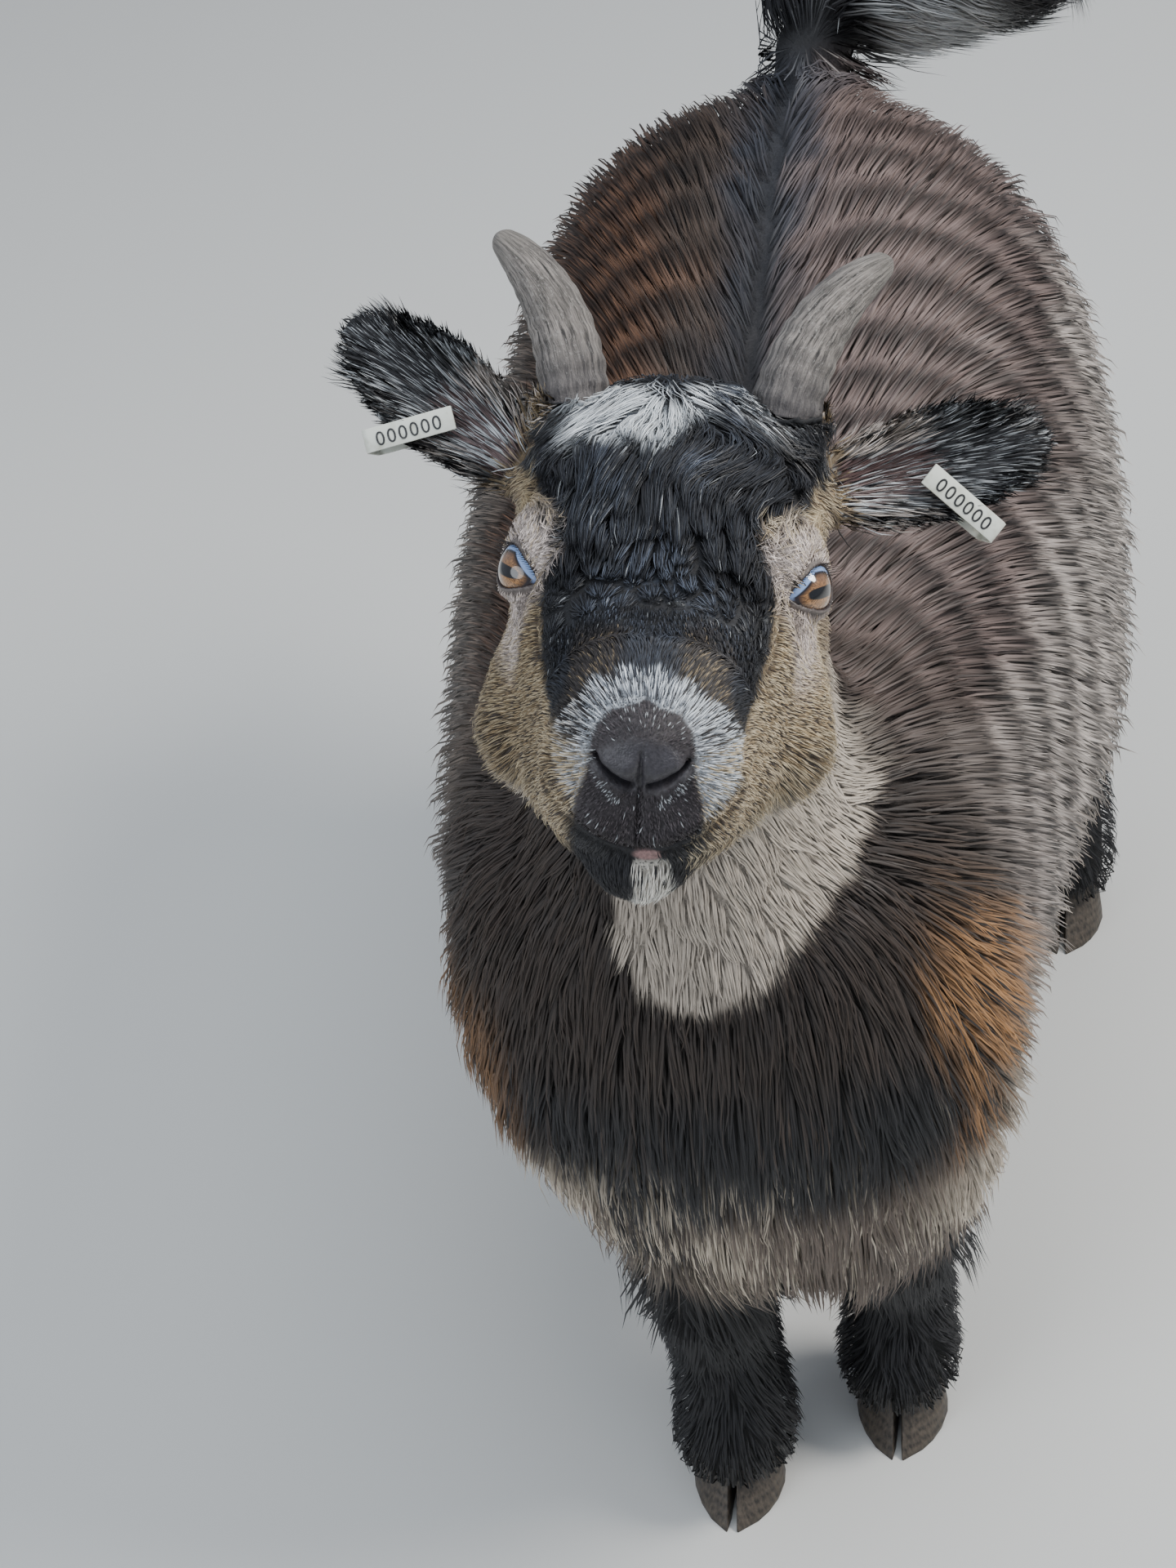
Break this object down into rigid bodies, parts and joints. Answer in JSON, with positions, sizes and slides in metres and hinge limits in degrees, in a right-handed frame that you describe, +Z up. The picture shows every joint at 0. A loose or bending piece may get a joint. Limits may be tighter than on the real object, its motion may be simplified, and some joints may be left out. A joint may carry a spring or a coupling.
{
  "type": "pygmy goat",
  "caption": "Life-size still model of a young horned pygmy goat that stands and looks up, with a flat tag in each ear.",
  "frame": {"origin": "middle of the bottom of the whole box, on the level the hooves stand on", "axes": "+Z up, the goat faces -Y, its left side is towards +X"},
  "size_m": [0.2976, 0.6474, 0.6048],
  "materials": {
    "coat_grey": "long brindled grey-brown hair with pale tips over dark roots",
    "coat_black": "shaggy black hair",
    "coat_tan": "short grizzled tan and black hair with white round the nose",
    "horn": "dry grey horn with fine fibres along it and faint growth rings",
    "eye": "wet amber iris with a level slot pupil",
    "hoof": "dull dark hoof horn",
    "tag": "pale moulded plastic with dark plain digits"
  },
  "bodies": {
    "root": {"head": "coat_tan", "neck": "coat_grey", "trunk": "coat_grey", "tail": "coat_black", "leg_fore_left": "coat_black", "leg_fore_right": "coat_black", "leg_hind_left": "coat_black", "leg_hind_right": "coat_black", "ear_left": "coat_black", "ear_right": "coat_black", "horn_left": "horn", "horn_right": "horn", "eye_left": "eye", "eye_right": "eye", "tag_left": "tag", "tag_right": "tag", "hoof_fore_left_inner": "hoof", "hoof_fore_left_outer": "hoof", "hoof_fore_right_inner": "hoof", "hoof_fore_right_outer": "hoof", "hoof_hind_left_inner": "hoof", "hoof_hind_left_outer": "hoof", "hoof_hind_right_inner": "hoof", "hoof_hind_right_outer": "hoof"}
  },
  "joints": []
}
